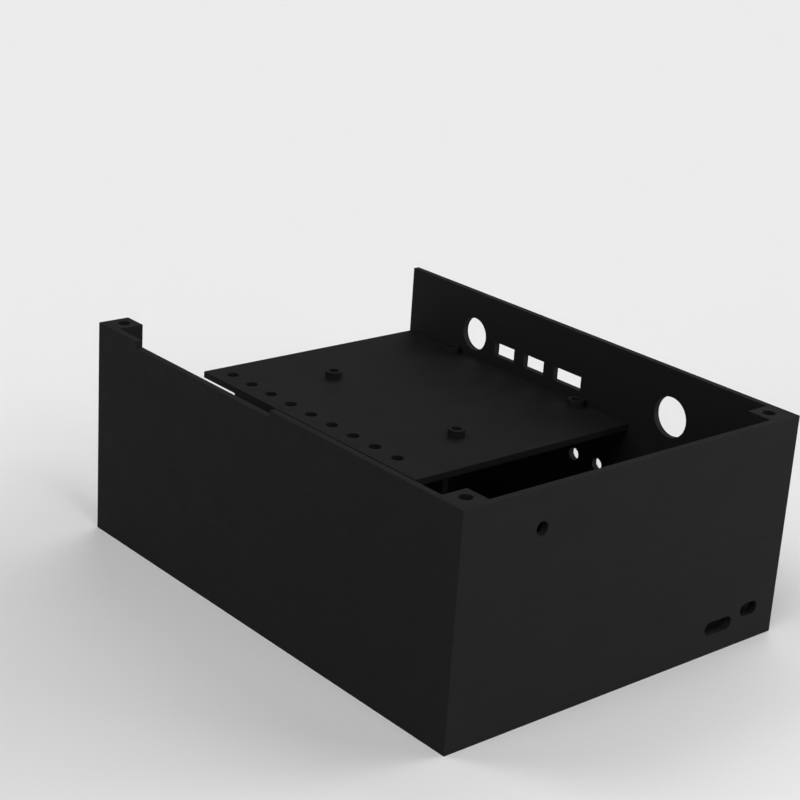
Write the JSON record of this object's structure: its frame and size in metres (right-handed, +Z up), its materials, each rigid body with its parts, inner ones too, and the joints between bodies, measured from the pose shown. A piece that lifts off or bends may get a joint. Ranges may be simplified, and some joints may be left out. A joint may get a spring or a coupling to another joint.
{
  "type": "computer case",
  "caption": "Open-topped printed case base for a single-board computer, with corner screw posts, a raised board shelf with standoffs, port windows and a drive bay.",
  "frame": {"origin": "centre of the underside", "axes": "+Z up, +X from the notched wall to the wall with the port windows, +Y from the end wall to the open end"},
  "size_m": [0.124, 0.162, 0.066],
  "materials": {
    "printed_plastic": "matt black printed plastic"
  },
  "bodies": {
    "root": {"case_body": "printed_plastic"}
  },
  "joints": []
}
